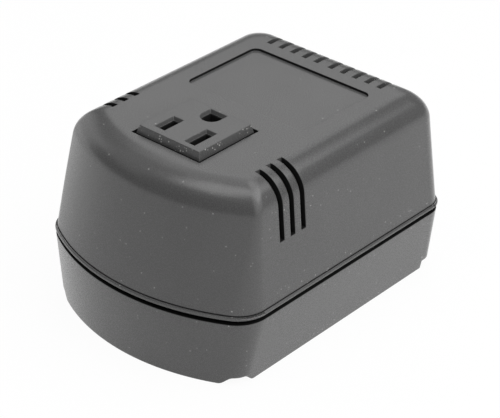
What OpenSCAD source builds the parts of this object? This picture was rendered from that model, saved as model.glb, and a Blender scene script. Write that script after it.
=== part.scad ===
// Travel voltage converter: a two-shell casing with a three-pin outlet in its top
// and a laminated transformer bolted to its tray.
// Millimetres, +Z up, standing on z = 0, with the bowed front towards -Y.

/* [Casing] */
// Width across the rim of the cover
case_w = 84; // [76:0.2:100]
// Length over the rim, from the tip of the bowed front to the back
case_l = 110; // [100:0.2:130]
// Height of the flat top above the table
case_h = 64.8; // [59:0.2:80]
// Height of the parting line between tray and cover
seam_z = 23.95; // [20:0.05:30]
// Open gap at the parting line
seam_gap = 1.6; // [0.6:0.1:2]
// Wall thickness of the tray and of the cover's sides
wall = 2.3; // [1.8:0.1:2.8]
// Thickness of the cover's top
top_wall = 2.4; // [2:0.1:3]
// How far the cover's rim stands out of its wall
rim_out = 0.5; // [0.3:0.1:1.2]
// Height of the rim's upright edge
rim_h = 1.1; // [0.8:0.1:2.4]
// Height over which the rim slopes back into the wall
rim_slope = 1.2; // [0.3:0.05:1.6]
// Radius of the bowed front at the parting line, seen from above
bow_r = 72.5; // [68:0.5:100]
// Radius where the cover's walls roll into its top
top_round = 8.5; // [7:0.1:9.5]

/* [Corners and leans] */
// Front corner radius at the parting line
front_corner_r = 11.5; // [8:0.5:14]
// Front corner radius at the top of the cover
front_corner_top_r = 3.2; // [2.6:0.1:6]
// Front corner radius at the foot of the tray
front_corner_foot_r = 5.4; // [4:0.1:11]
// How fast the front corners tighten with height, where 1 is evenly
corner_fall = 1.6; // [1:0.1:2.4]
// Back corner radius at the parting line
back_corner_r = 7.6; // [5:0.1:10]
// Back corner radius at the top of the cover
back_corner_top_r = 7; // [6:0.1:11]
// Back corner radius at the foot of the tray
back_corner_foot_r = 4.3; // [3:0.1:8]
// Lean of the cover's sides, in degrees
side_lean = 5.85; // [2:0.05:7]
// Lean of the cover's bowed front, in degrees
front_lean = 12.05; // [6:0.05:13]
// Lean of the cover's back, in degrees
back_lean = 5.25; // [2:0.05:6]
// Lean of the tray's sides, in degrees
tray_side_lean = 8.5; // [4:0.1:9]
// Lean of the tray's front, in degrees
tray_front_lean = 4.7; // [2:0.1:7]
// Lean of the tray's back, in degrees
tray_back_lean = 1.2; // [0.4:0.1:3]

/* [Tray] */
// Height of the skirt under the floor
skirt_h = 3; // [1.5:0.1:3.5]
// Thickness of the floor
floor_t = 2.4; // [1.8:0.1:3.2]
// Skirt cut-out at each front corner, measured from the front of the rim
front_cut_l = 15.2; // [13:0.2:20]
// Skirt cut-out at each front corner, measured from the side of the rim
front_cut_w = 5.8; // [5:0.2:9]
// How far the skirt's ends slope at the front corners, from the table up to the floor
front_cut_slope = 4; // [1:0.1:5]
// Skirt cut-out at each back corner, measured from the back of the rim
back_cut_l = 6.5; // [5:0.1:12]
// Skirt cut-out at each back corner, measured from the side of the rim
back_cut_w = 9.5; // [6:0.1:12]
// How far the skirt's ends slope at the back corners, from the table up to the floor
back_cut_slope = 0.6; // [0.2:0.1:3]
// Thickness of the lip that locates the cover
lip_t = 1.2; // [0.8:0.1:1.6]
// Height of the lip above the cover's lower edge
lip_h = 2.5; // [1.5:0.1:4]
// Number of air slots across the floor
floor_vent_n = 7; // [3:1:9]
// Length of each floor slot
floor_vent_l = 26; // [14:1:28]
// Spacing of the floor slots
floor_vent_pitch = 5; // [4:0.1:5.4]

/* [Vents] */
// Width of every slot
vent_w = 2; // [1.4:0.1:2.6]
// How far the slots run down from the flat top
vent_drop = 19.9; // [14:0.1:26]
// Slots on each long side
side_vent_n = 3; // [1:1:4]
// Spacing of the side slots
side_vent_pitch = 4.9; // [4:0.05:6]
// Inner ends of the side slots, measured from the side of the rim
side_vent_inset = 12.9; // [11:0.1:16]
// Slots in each of the two groups at the back
back_vent_n = 5; // [1:1:5]
// Spacing of the back slots
back_vent_pitch = 4.94; // [4:0.02:5]
// Spacing across the middle of the two groups
back_vent_gap = 5.93; // [5:0.01:7]
// Inner ends of the back slots, measured from the back of the rim
back_vent_inset = 15.4; // [14:0.1:19]

/* [Label recess] */
// Width of the recess
label_w = 47; // [36:0.5:52]
// Length of the recess
label_l = 31.8; // [24:0.2:33]
// Corner radius of the recess
label_r = 2.5; // [1:0.1:5]
// Depth of the recess
label_depth = 1; // [0.5:0.1:1.3]
// Back edge of the recess, measured from the back of the rim
label_inset = 21.3; // [19.5:0.1:24]

/* [Outlet] */
// Centre of the outlet, measured from the front of the rim
outlet_inset = 34.1; // [33.8:0.1:35.4]
// Width of the plinth where it leaves the cover
plinth_w = 26.8; // [25.5:0.1:28]
// Length of the plinth where it leaves the cover
plinth_l = 25.8; // [25.2:0.1:27]
// Height of the plinth above the cover
plinth_h = 2.3; // [1:0.1:4]
// How far the plinth's sides lean in
plinth_lean = 1.3; // [0.5:0.1:2]
// Gap round the plinth in the cover's opening
plinth_gap = 0.5; // [0.2:0.1:0.8]
// How far the flange reaches under the cover
flange_lip = 2; // [1.2:0.1:2.4]
// Thickness of the flange
flange_t = 2; // [1.4:0.1:3]
// Distance between the two blade slots
blade_spacing = 12.7; // [12:0.1:13.5]
// Distance from the blade slots to the earth hole
earth_offset = 11.9; // [11.2:0.1:12.6]
// Distance from the blade slots to the outlet's centre
blade_inset = 4.7; // [4.2:0.1:5.2]
// Width of the through slots for the blades
slot_w = 2.1; // [1.8:0.1:2.6]
// Length of the short blade slot
line_slot_l = 6.8; // [6.4:0.1:7.2]
// Length of the long blade slot
neutral_slot_l = 8.2; // [8:0.1:8.8]
// Width of the step round each opening
lead_in = 0.75; // [0.4:0.05:0.9]
// Depth of the step round each opening
lead_in_depth = 1.5; // [0.8:0.1:2.2]
// Half width of the earth hole
earth_hole_r = 2.6; // [2.5:0.05:2.8]
// Distance from the earth hole's centre to its flat side
earth_flat = 2.6; // [2.5:0.05:2.8]
// Depth of the contact carrier below the flange
carrier_h = 13; // [12:0.5:16]
// Thickness of the carrier's walls and floor
carrier_wall = 1.2; // [1:0.1:1.6]

/* [Contacts] */
// Thickness of the contact strip
strip_t = 0.8; // [0.5:0.1:1]
// Gap between the two leaves at their waist
leaf_gap = 1.4; // [1.1:0.1:1.6]
// Extra opening of the leaves at their mouth and root
leaf_flare = 0.6; // [0.3:0.1:0.8]
// Width of the line contact's leaves
line_leaf_w = 6.4; // [5.5:0.1:7]
// Width of the neutral contact's leaves
neutral_leaf_w = 7.8; // [6.5:0.1:8.4]
// Bore radius of the earth sleeve
earth_bore_r = 2.45; // [2.4:0.05:2.6]
// Width of the slit along the earth sleeve
earth_slit = 0.9; // [0.5:0.1:1.4]
// Width of the solder tags
tag_w = 2.6; // [2:0.1:3]
// Length of the contacts' tags below the carrier
tag_drop = 3; // [2.4:0.1:5]

/* [Transformer] */
// Leg unit of the laminations: the core is 6 by 5 units
leg = 9; // [8:0.1:10]
// Thickness of the lamination stack
stack = 30; // [24:0.5:35]
// Radius of the core's corner holes
core_hole_r = 2.2; // [2.1:0.05:2.6]
// Wall thickness of the bobbin
bobbin_t = 1.2; // [0.8:0.1:1.6]
// Thickness of the inner winding
inner_build = 2.7; // [2:0.1:2.8]
// Thickness of the outer winding
outer_build = 2.7; // [2:0.1:2.8]
// Thickness of the tape between and round the windings
tape_t = 0.35; // [0.2:0.05:0.4]
// Number of solder tags on the bobbin
bobbin_tag_n = 4; // [2:1:4]
// Spacing of the bobbin's solder tags
bobbin_tag_pitch = 9.2; // [8:0.1:10]

/* [Thermal cut-out] */
// Length of the cut-out's body
thermal_l = 12; // [9:0.5:16]
// Width of the cut-out's body
thermal_w = 7; // [5:0.5:9]
// Thickness of the cut-out's body
thermal_h = 3.4; // [2.5:0.1:4]

/* [Cord entry] */
// Height of the cord entry
gland_z = 13; // [11.5:0.1:14]
// Bore radius of the gland
gland_bore_r = 3.3; // [2.8:0.1:3.8]
// Wall thickness of the gland
gland_t = 1.7; // [1.2:0.1:2]
// How far the gland's flange reaches past its body
gland_lip = 2; // [1.5:0.1:2.4]
// Thickness of the gland's flange
gland_flange_t = 1.1; // [0.8:0.1:1.6]
// Length of the gland inside the wall
gland_l = 5; // [3.5:0.1:6]

/* [Fasteners] */
// Shank radius of the case screws
case_screw_r = 1.6; // [1.3:0.05:1.8]
// Radius of the screw bosses in the cover
boss_r = 3.4; // [3:0.1:3.6]
// Radius of the screw posts in the tray
post_r = 4.4; // [4.2:0.1:4.8]
// Case screw bosses, measured in from the side of the rim
boss_side = 10; // [9.4:0.1:12]
// Front case screw bosses, measured from the front of the rim
boss_front = 17.5; // [17:0.1:20]
// Back case screw bosses, measured from the back of the rim
boss_back = 8; // [7.8:0.1:8.8]
// Height of the seats for the case screws' heads
screw_seat_z = 9; // [7:0.5:12]
// How far the case screws bite into the cover
screw_bite = 12; // [8:0.5:18]
// Shank radius of the core bolts
core_bolt_r = 2; // [1.6:0.05:2]
// Radius of the posts under the core
core_post_r = 4.2; // [3.6:0.1:4.6]
// How far the core bolts bite into their posts
bolt_bite = 8; // [5:0.5:9]
// Shank radius of the outlet screws
outlet_screw_r = 1.2; // [1:0.05:1.4]
// Radius of the bosses for the outlet screws
outlet_boss_r = 2.8; // [2.4:0.1:3.2]
// Length of the bosses for the outlet screws
outlet_boss_l = 6; // [4:0.5:8]

/* [Clearances] */
// Gap round a piece that drops into another
fit = 0.25; // [0.1:0.05:0.3]
// Gap between a screw and the hole that it is driven into
thread_gap = 0.05; // [0.02:0.01:0.1]
// Gap between wound layers
layer_gap = 0.1; // [0.05:0.05:0.2]
// Gap between the transformer and what stands round it
core_gap = 0.6; // [0.4:0.1:1]

/* [Hidden] */
$fn = 48;
// Facets along the bow and round each corner of the casing, and up its walls and rolled edge
bow_n = 16;
corner_n = 6;
wall_n = 3;
roll_n = 7;
// How far a cutting tool runs past the face that it opens
past = 1;
// Least corner radius of an outline that is set in
least_r = 0.6;

// Colours
casing_grey = [0.42, 0.42, 0.42];
outlet_grey = [0.43, 0.43, 0.43];
brass = [0.80, 0.66, 0.34];
copper = [0.72, 0.40, 0.22];
steel = [0.70, 0.71, 0.73];
iron = [0.42, 0.43, 0.46];
nylon = [0.90, 0.89, 0.85];
tape_yellow = [0.90, 0.78, 0.30];
rubber_black = [0.08, 0.08, 0.09];
lead_black = [0.15, 0.13, 0.13];
lead_white = [0.85, 0.85, 0.85];
lead_green = [0.20, 0.55, 0.25];
lead_red = [0.75, 0.12, 0.10];

// Casing heights and half sizes at the parting line
wall_half = case_w / 2 - rim_out;
wall_end = case_l / 2 - rim_out;
tray_top = seam_z - seam_gap / 2;
cover_low = seam_z + seam_gap / 2;
cover_top_in = case_h - top_wall;
floor_z = skirt_h + floor_t;
lip_in = wall + fit;
lip_top = cover_low + lip_h;
cover_span = case_h - cover_low;

// Screw bosses and their ribs
boss_x = case_w / 2 - boss_side;
boss_front_y = -case_l / 2 + boss_front;
boss_back_y = case_l / 2 - boss_back;
boss_places = [for (x = [-boss_x, boss_x], y = [boss_front_y, boss_back_y]) [x, y]];
rib_t = 1.8;
case_head_r = 2 * case_screw_r;
case_head_h = 2.2;

// Outlet
outlet_y = -case_l / 2 + outlet_inset;
blade_y = outlet_y - blade_inset;
earth_y = blade_y + earth_offset;
line_x = -blade_spacing / 2;
neutral_x = blade_spacing / 2;
flange_w = plinth_w + 2 * flange_lip;
flange_l = plinth_l + 2 * flange_lip;
flange_low = cover_top_in - flange_t;
carrier_low = flange_low - carrier_h;
pocket_floor = carrier_low + carrier_wall;
leaf_span = leaf_gap + leaf_flare + 2 * strip_t;
leaf_top = flange_low - fit;
waist_share = 0.6;
waist_z = pocket_floor + waist_share * (leaf_top - pocket_floor);
earth_sleeve_r = earth_bore_r + strip_t;
carrier_half = blade_spacing / 2 + leaf_span / 2 + fit + carrier_wall;
carrier_front = blade_y - neutral_leaf_w / 2 - fit - carrier_wall;
carrier_back = earth_y + earth_sleeve_r + fit + carrier_wall;
outlet_boss_x = flange_w / 2 + outlet_boss_r + core_gap;
ear_top = cover_top_in - outlet_boss_l;
ear_t = 2;
ear_rim = 1.4;
ear_r = outlet_boss_r + ear_rim;
outlet_head_r = 2 * outlet_screw_r;
outlet_head_h = 1.6;

// Transformer: the core stands on posts, clear of the back screw posts
core_y = boss_back_y - post_r - core_gap - 2.5 * leg;
window = leg;
coil_reach = window - 2 * fit;
core_low = floor_z + coil_reach + fit;
core_mid = core_low + stack / 2;
core_top = core_low + stack;
bolt_places = [for (x = [-2.5 * leg, 2.5 * leg], y = [-2 * leg, 2 * leg]) [x, core_y + y]];
eye_place = [2.5 * leg, core_y - 2 * leg];
bobbin_half = 1.5 * leg - fit;
bobbin_front = core_y - bobbin_half;
tube_in = fit;
tube_out = tube_in + bobbin_t;
inner_in = tube_out + layer_gap;
inner_out = inner_in + inner_build;
paper_in = inner_out + layer_gap;
paper_out = paper_in + tape_t;
outer_in = paper_out + layer_gap;
outer_out = outer_in + outer_build;
wrap_in = outer_out + layer_gap;
wrap_out = wrap_in + tape_t;
coil_half = bobbin_half - bobbin_t - fit;
flange_z = core_top + coil_reach;
rail_h = 3;
rail_l = 2;
bobbin_tag_l = 5.2;
washer_t = 0.8;
washer_r = 2.1 * core_bolt_r;
bolt_head_h = 3;
bolt_head_r = 1.75 * core_bolt_r;
bolt_slot_w = 1;
eye_t = 0.8;
eye_l = 7;
eye_w = 3;
coil_top = core_top + wrap_out;
thermal_r = 1;

// Cord entry: a flat seat for the gland's flange in the leaning back wall
gland_r = gland_bore_r + gland_t;
gland_flange_r = gland_r + gland_lip;
gland_seat_y = wall_end - tan(tray_back_lean) * (tray_top - gland_z + gland_flange_r) - fit;
gland_inner_y = gland_seat_y - wall;
gland_barb = 0.6;
gland_barb_l = 2;

// Routes of the inner leads: points off the tag or eye where each starts, then off the tag where it ends
lead_r = 1;
lead_sides = 8;
cutout_lead_r = 0.6;
tag_front = bobbin_front + bobbin_t - bobbin_tag_l;
tag_x = bobbin_tag_pitch * (bobbin_tag_n - 1) / 2;
contact_tag_end = carrier_low - tag_drop;
from_bobbin = [[0, -0.2, 0], [-0.1, -2.8, -0.1], [-0.5, -6, -0.9], [-1, -9.4, -2.4]];
to_blade = [
    [-9, 9, 4.2], [-9.2, 5.4, 1.8], [-8.4, 2.2, -1], [-6.4, 0.4, -3.2],
    [-3.6, -0.4, -4.3], [-1.2, -0.2, -3.8], [-0.1, 0, -2.2], [0, 0, -0.1]
];
line_route = concat(
    [for (p = from_bobbin) p + [-tag_x, tag_front, flange_z + strip_t / 2]],
    [for (p = to_blade) p + [line_x, blade_y, contact_tag_end]]
);
neutral_route = [for (p = line_route) [-p[0], p[1], p[2]]];
from_eye = [[-0.2, 0, 0.9], [-2, -0.6, 1.1], [-3.6, -2.6, 1.2], [-4.6, -5.2, 1.2]];
to_earth = [[7.6, 4.6, 1.3], [5.4, 2.2, 1.2], [3.2, 0.7, 1.1], [1.6, 0.1, 1.1], [0.5, 0, 1.1]];
earth_route = concat(
    [for (p = from_eye) p + [eye_place[0] - eye_l, eye_place[1], core_top + eye_t / 2]],
    [for (p = to_earth) p + [0, earth_y, contact_tag_end]]
);
thermal_low = coil_top + layer_gap;
from_cutout = [[0, -0.1, 0], [0, -2.4, 0.1], [0, -4.8, 0.2]];
to_bobbin = [[0, 5.6, 0.8], [0, 3, 0.8]];
cutout_route = concat(
    [for (p = from_cutout) p + [-bobbin_tag_pitch / 2, core_y - thermal_l / 2, thermal_low + thermal_h / 2]],
    [for (p = to_bobbin) p + [-bobbin_tag_pitch / 2, tag_front, flange_z + strip_t]]
);

// A point on a circle round c
function on_circle(c, r, a) = [c[0] + r * cos(a), c[1] + r * sin(a)];

// Plan of the casing: straight sides and back, bowed front, rounded corners, anticlockwise
function plan(half, front, back, bow, r_front, r_back) =
    let (
        bow_y = front + bow,
        cx = half - r_front,
        cy = bow_y - sqrt(pow(bow - r_front, 2) - cx * cx),
        join = atan2(cy - bow_y, cx),
        steps = [0 : corner_n],
        front_right = [for (i = steps) on_circle([cx, cy], r_front, join * (1 - i / corner_n))],
        back_right = [for (i = steps) on_circle([half - r_back, back - r_back], r_back, 90 * i / corner_n)],
        right = concat(front_right, back_right),
        left = [for (i = [len(right) - 1 : -1 : 0]) [-right[i][0], right[i][1]]],
        sweep = 2 * join + 180,
        bowed = [for (i = [1 : bow_n - 1]) on_circle([0, bow_y], bow, sweep * i / bow_n - 180 - join)]
    )
    concat(right, left, bowed);

// The plan lifted to height z
function at_height(points, z) = [for (p = points) [p[0], p[1], z]];

// A smaller radius for an outline that is set in, never below a least radius
function set_in(r, inset) = max(r - inset, least_r);

// The cover's outline at height z, set in from its outer wall
function cover_ring(z, inset) =
    let (
        h = z - cover_low,
        t = max(0, min(1, h / cover_span)),
        r_front = front_corner_top_r + (front_corner_r - front_corner_top_r) * pow(1 - t, corner_fall),
        r_back = back_corner_r + (back_corner_top_r - back_corner_r) * t,
        front = -wall_end + tan(front_lean) * h + inset,
        bow = bow_r - tan(front_lean) * h - inset
    )
    at_height(plan(
        wall_half - tan(side_lean) * h - inset, front, wall_end - tan(back_lean) * h - inset,
        bow, set_in(r_front, inset / 2), set_in(r_back, inset / 2)), z);

// Rings of a wall that rises to height top and rolls inwards with radius roll
function rolled(low, top, roll, inset, steps) = concat(
    [for (i = [0 : wall_n]) cover_ring(low + (top - roll - low) * i / wall_n, inset)],
    [for (i = [1 : steps])
        let (a = 90 * i / steps)
        cover_ring(top - roll + roll * sin(a), inset + roll * (1 - cos(a)))]
);

// The tray's outline at height z, set in from its outer wall
function tray_ring(z, inset) =
    let (
        drop = tray_top - z,
        t = max(0, min(1, drop / tray_top)),
        r_front = front_corner_r + (front_corner_foot_r - front_corner_r) * t,
        r_back = back_corner_r + (back_corner_foot_r - back_corner_r) * t,
        front_in = tan(tray_front_lean) * drop + inset
    )
    at_height(plan(
        wall_half - tan(tray_side_lean) * drop - inset, -wall_end + front_in,
        wall_end - tan(tray_back_lean) * drop - inset, bow_r - front_in,
        set_in(r_front, inset / 2), set_in(r_back, inset / 2)), z);

// Solid skinned over a stack of rings that have the same number of points
module loft(rings) {
    n = len(rings[0]);
    last = len(rings) - 1;
    quads = [for (k = [0 : last - 1], i = [0 : n - 1])
        [k * n + i, k * n + (i + 1) % n, (k + 1) * n + (i + 1) % n, (k + 1) * n + i]];
    sides = [for (q = quads) each [[q[0], q[2], q[1]], [q[0], q[3], q[2]]]];
    low = [for (i = [0 : n - 1]) i];
    high = [for (i = [n - 1 : -1 : 0]) last * n + i];
    polyhedron([for (r = rings) each r], concat([low], sides, [high]));
}

// Rectangle with rounded corners, centred
module round_rect(w, l, r) {
    square([w - 2 * r, l], center = true);
    square([w, l - 2 * r], center = true);
    for (x = [-1, 1], y = [-1, 1])
        translate([x * (w / 2 - r), y * (l / 2 - r)])
            circle(r);
}

// Block that is centred in x and y and spans low to high in z
module slab(w, l, low, high) {
    translate([-w / 2, -l / 2, low])
        cube([w, l, high - low]);
}

// Upright cylinder that spans low to high
module pillar(r, low, high) {
    translate([0, 0, low])
        cylinder(r = r, h = high - low);
}

// Screw with its head below and its shank upwards from the seat
module screw_up(shank_r, head_r, head_h, seat, tip) {
    difference() {
        union() {
            pillar(head_r, seat - head_h, seat);
            pillar(shank_r, seat - head_h / 2, tip);
        }
        for (a = [0, 90])
            rotate(a)
                slab(head_r, head_r / 4, seat - head_h - past, seat - head_h / 2);
    }
}

// Slots over the cover's rolled edges and down its walls
module vents() {
    low = case_h - vent_drop;
    side_tip = case_w / 2 - side_vent_inset;
    back_tip = case_l / 2 - back_vent_inset;
    for (side = [-1, 1], i = [0 : side_vent_n - 1]) {
        y = outlet_y + (i - (side_vent_n - 1) / 2) * side_vent_pitch;
        translate([side * (side_tip + case_w / 2), y, 0])
            slab(case_w, vent_w, low, case_h + past);
    }
    for (side = [-1, 1], i = [0 : back_vent_n - 1])
        translate([side * (back_vent_gap / 2 + i * back_vent_pitch), back_tip + case_l / 2, 0])
            slab(vent_w, case_l, low, case_h + past);
}

// Bosses and ribs that the cover's cavity leaves standing
module cover_bosses() {
    for (p = boss_places)
        translate([p[0], p[1], 0]) {
            pillar(boss_r, cover_low, case_h);
            translate([sign(p[0]) * boss_side / 2, 0, 0])
                slab(boss_side, rib_t, lip_top + core_gap, case_h);
        }
    for (x = [-outlet_boss_x, outlet_boss_x])
        translate([x, outlet_y, 0])
            pillar(outlet_boss_r, ear_top, case_h);
}

module top_cover() {
    rim_top = cover_low + rim_h;
    outer = concat(
        [cover_ring(cover_low, -rim_out), cover_ring(rim_top, -rim_out)],
        rolled(rim_top + rim_slope, case_h, top_round, 0, roll_n)
    );
    inner = rolled(cover_low - past, cover_top_in, top_round - wall, wall, roll_n - 2);
    color(casing_grey)
        difference() {
            loft(outer);
            difference() {
                loft(inner);
                cover_bosses();
            }
            vents();
            translate([0, outlet_y, 0])
                slab(
                    plinth_w + 2 * plinth_gap, plinth_l + 2 * plinth_gap,
                    cover_top_in - past, case_h + past);
            translate([0, case_l / 2 - label_inset - label_l / 2, case_h - label_depth])
                linear_extrude(label_depth + past)
                    round_rect(label_w, label_l, label_r);
            for (p = boss_places)
                translate([p[0], p[1], 0])
                    pillar(case_screw_r + thread_gap, cover_low - past, cover_low + screw_bite + past);
            for (x = [-outlet_boss_x, outlet_boss_x])
                translate([x, outlet_y, 0])
                    pillar(outlet_screw_r + thread_gap, ear_top - past, cover_top_in - fit);
        }
}

// Posts that the tray's cavity leaves standing
module tray_posts() {
    for (p = boss_places)
        translate([p[0], p[1], 0])
            pillar(post_r, 0, cover_low);
    for (p = bolt_places)
        translate([p[0], p[1], 0])
            pillar(core_post_r, 0, core_low);
}

// Box that spans two corners and is open to the right, whose walls slope inwards as it rises
module corner_cut(low, high, slope) {
    foot = [low, [high[0], low[1]], high, [low[0], high[1]]];
    crown = [for (p = foot) p + slope];
    loft([at_height(foot, 0), at_height(crown, skirt_h)]);
}

// Cuts in the tray's skirt at its four corners, with sloping ends
module skirt_cutouts() {
    front_x = case_w / 2 - front_cut_w - front_cut_slope;
    front_y = -case_l / 2 + front_cut_l + front_cut_slope;
    back_x = case_w / 2 - back_cut_w - back_cut_slope;
    back_y = case_l / 2 - back_cut_l - back_cut_slope;
    for (side = [0, 1])
        mirror([side, 0, 0]) {
            corner_cut([front_x, -case_l], [case_w, front_y], [front_cut_slope, -front_cut_slope]);
            corner_cut([back_x, back_y], [case_w, case_l], [back_cut_slope, back_cut_slope]);
        }
}

// Round hole through the back wall, with a flat seat for the gland's flange
module gland_hole() {
    translate([0, 0, gland_z])
        rotate([-90, 0, 0]) {
            pillar(gland_r + fit, gland_inner_y - 4 * wall, case_l);
            pillar(gland_flange_r + fit, gland_seat_y, case_l);
        }
}

module base_tray() {
    outer = [
        tray_ring(0, 0), tray_ring(tray_top, 0),
        tray_ring(tray_top, lip_in), cover_ring(lip_top, lip_in)
    ];
    lip_root = tray_top - 2 * lip_t;
    inner = [
        tray_ring(floor_z, wall), tray_ring(lip_root, wall),
        tray_ring(tray_top, lip_in + lip_t), cover_ring(lip_top + past, lip_in + lip_t)
    ];
    color(casing_grey)
        difference() {
            loft(outer);
            difference() {
                loft(inner);
                tray_posts();
            }
            loft([tray_ring(-past, wall), tray_ring(skirt_h, wall)]);
            skirt_cutouts();
            gland_hole();
            for (p = boss_places)
                translate([p[0], p[1], 0]) {
                    pillar(case_head_r + fit, -past, screw_seat_z);
                    pillar(case_screw_r + fit, 0, cover_low + past);
                }
            for (p = bolt_places)
                translate([p[0], p[1], 0])
                    pillar(core_bolt_r + thread_gap, core_low - bolt_bite - past / 2, core_low + past);
            for (i = [0 : floor_vent_n - 1])
                translate([(i - (floor_vent_n - 1) / 2) * floor_vent_pitch, core_y, 0])
                    slab(vent_w, floor_vent_l, 0, floor_z + past);
        }
}

// Opening for a flat blade, with a step round its mouth
module blade_opening(x, length) {
    top = case_h + plinth_h;
    translate([x, blade_y, 0]) {
        slab(slot_w, length, flange_low - past, top + past);
        slab(slot_w + 2 * lead_in, length + 2 * lead_in, top - lead_in_depth, top + past);
    }
}

// Opening with a round side towards the blades and a flat side away from them
module earth_outline(step) {
    r = earth_hole_r + step;
    circle(r);
    translate([-r, 0])
        square([2 * r, earth_flat + step]);
}

module earth_opening() {
    top = case_h + plinth_h;
    translate([0, earth_y, flange_low - past])
        linear_extrude(top - flange_low + 2 * past)
            earth_outline(0);
    translate([0, earth_y, top - lead_in_depth])
        linear_extrude(lead_in_depth + past)
            earth_outline(lead_in);
}

module outlet_face() {
    corner = [[1, -1], [1, 1], [-1, 1], [-1, -1]];
    crown_w = plinth_w - 2 * plinth_lean;
    crown_l = plinth_l - 2 * plinth_lean;
    neck = [for (c = corner) [c[0] * plinth_w / 2, outlet_y + c[1] * plinth_l / 2, cover_top_in]];
    foot = [for (p = neck) [p[0], p[1], case_h]];
    crown = [for (c = corner) [c[0] * crown_w / 2, outlet_y + c[1] * crown_l / 2, case_h + plinth_h]];
    color(outlet_grey)
        difference() {
            union() {
                loft([neck, foot, crown]);
                translate([0, outlet_y, 0])
                    slab(flange_w, flange_l, flange_low, cover_top_in);
            }
            blade_opening(line_x, line_slot_l);
            blade_opening(neutral_x, neutral_slot_l);
            earth_opening();
        }
}

module contact_carrier() {
    pocket_w = leaf_span + 2 * fit;
    color(nylon)
        difference() {
            union() {
                translate([-carrier_half, carrier_front, carrier_low])
                    cube([2 * carrier_half, carrier_back - carrier_front, carrier_h]);
                translate([0, outlet_y, 0])
                    slab(2 * outlet_boss_x, 2 * ear_r, ear_top - ear_t, ear_top);
                for (x = [-outlet_boss_x, outlet_boss_x])
                    translate([x, outlet_y, 0])
                        pillar(ear_r, ear_top - ear_t, ear_top);
            }
            translate([line_x, blade_y, 0])
                slab(pocket_w, line_leaf_w + 2 * fit, pocket_floor, flange_low + past);
            translate([neutral_x, blade_y, 0])
                slab(pocket_w, neutral_leaf_w + 2 * fit, pocket_floor, flange_low + past);
            translate([0, earth_y, 0])
                pillar(earth_sleeve_r + fit, pocket_floor, flange_low + past);
            for (p = [[line_x, blade_y], [neutral_x, blade_y], [0, earth_y]])
                translate([p[0], p[1], 0])
                    slab(strip_t + 2 * fit, tag_w + 2 * fit, carrier_low - past, pocket_floor + past);
            for (x = [-outlet_boss_x, outlet_boss_x])
                translate([x, outlet_y, 0])
                    pillar(outlet_screw_r + fit, ear_top - ear_t - past, ear_top + past);
        }
}

// Tag that passes down through the carrier's floor
module solder_tag() {
    slab(strip_t, tag_w, carrier_low - tag_drop, pocket_floor + strip_t / 2);
}

// Folded strip with two leaves that pinch a flat blade
module blade_contact(x, leaf_w) {
    waist = leaf_gap / 2;
    mouth = waist + leaf_flare / 2;
    bend_z = pocket_floor + strip_t;
    inside = [[mouth, leaf_top], [waist, waist_z], [mouth, bend_z]];
    outside = [[mouth + strip_t, pocket_floor], [waist + strip_t, waist_z], [mouth + strip_t, leaf_top]];
    half = concat(inside, [[0, bend_z], [0, pocket_floor]], outside);
    color(brass)
        translate([x, blade_y, 0]) {
            for (side = [0, 1])
                mirror([side, 0, 0])
                    translate([0, leaf_w / 2, 0])
                        rotate([90, 0, 0])
                            linear_extrude(leaf_w)
                                polygon(half);
            solder_tag();
        }
}

module line_contact() {
    blade_contact(line_x, line_leaf_w);
}

module neutral_contact() {
    blade_contact(neutral_x, neutral_leaf_w);
}

// Split sleeve for the round earth pin
module earth_contact() {
    color(brass)
        translate([0, earth_y, 0]) {
            difference() {
                pillar(earth_sleeve_r, pocket_floor, leaf_top);
                pillar(earth_bore_r, pocket_floor + strip_t, leaf_top + past);
                translate([0, earth_sleeve_r, 0])
                    slab(earth_slit, 2 * strip_t + fit, pocket_floor + strip_t, leaf_top + past);
            }
            solder_tag();
        }
}

module outlet_screws() {
    color(steel)
        for (x = [-outlet_boss_x, outlet_boss_x])
            translate([x, outlet_y, 0])
                screw_up(
                    outlet_screw_r, outlet_head_r, outlet_head_h, ear_top - ear_t, cover_top_in - 2 * fit);
}

// Corner holes through the lamination stack
module core_holes() {
    for (p = bolt_places)
        translate([p[0], p[1], 0])
            pillar(core_hole_r, core_low - past, core_top + past);
}

// E-shaped stack with its yoke at the back and its legs towards the front
module core_e_stack() {
    legs_l = 3 * leg;
    color(iron)
        difference() {
            translate([0, core_y + leg / 2, 0])
                slab(6 * leg, 4 * leg, core_low, core_top);
            for (side = [-1, 1])
                translate([side * 1.5 * leg, core_y + 1.5 * leg - legs_l / 2 - past / 2, 0])
                    slab(window, legs_l + past, core_low - past, core_top + past);
            core_holes();
        }
}

// Bar that closes the legs of the E at the front
module core_i_stack() {
    color(iron)
        difference() {
            translate([0, core_y - 2 * leg, 0])
                slab(6 * leg, leg, core_low, core_top);
            core_holes();
        }
}

// Rounded frame round the centre leg, from one distance off the leg to another
module leg_frame(inner, outer, half) {
    translate([0, core_y + half, core_mid])
        rotate([90, 0, 0])
            linear_extrude(2 * half)
                difference() {
                    round_rect(2 * leg + 2 * outer, stack + 2 * outer, outer);
                    round_rect(2 * leg + 2 * inner, stack + 2 * inner, inner);
                }
}

// Flange of the bobbin, from y to one wall further back
module bobbin_flange(y) {
    translate([0, y + bobbin_t / 2, 0])
        difference() {
            slab(2 * (leg + coil_reach), bobbin_t, core_low - coil_reach, flange_z);
            slab(2 * (leg + tube_in), bobbin_t + past, core_low - tube_in, core_top + tube_in);
        }
}

module bobbin() {
    color(nylon) {
        leg_frame(tube_in, tube_out, bobbin_half);
        bobbin_flange(bobbin_front);
        bobbin_flange(core_y + bobbin_half - bobbin_t);
        translate([0, bobbin_front - (rail_l - bobbin_t) / 2, 0])
            slab(2 * (leg + coil_reach), rail_l + bobbin_t, flange_z - rail_h, flange_z);
    }
}

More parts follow.
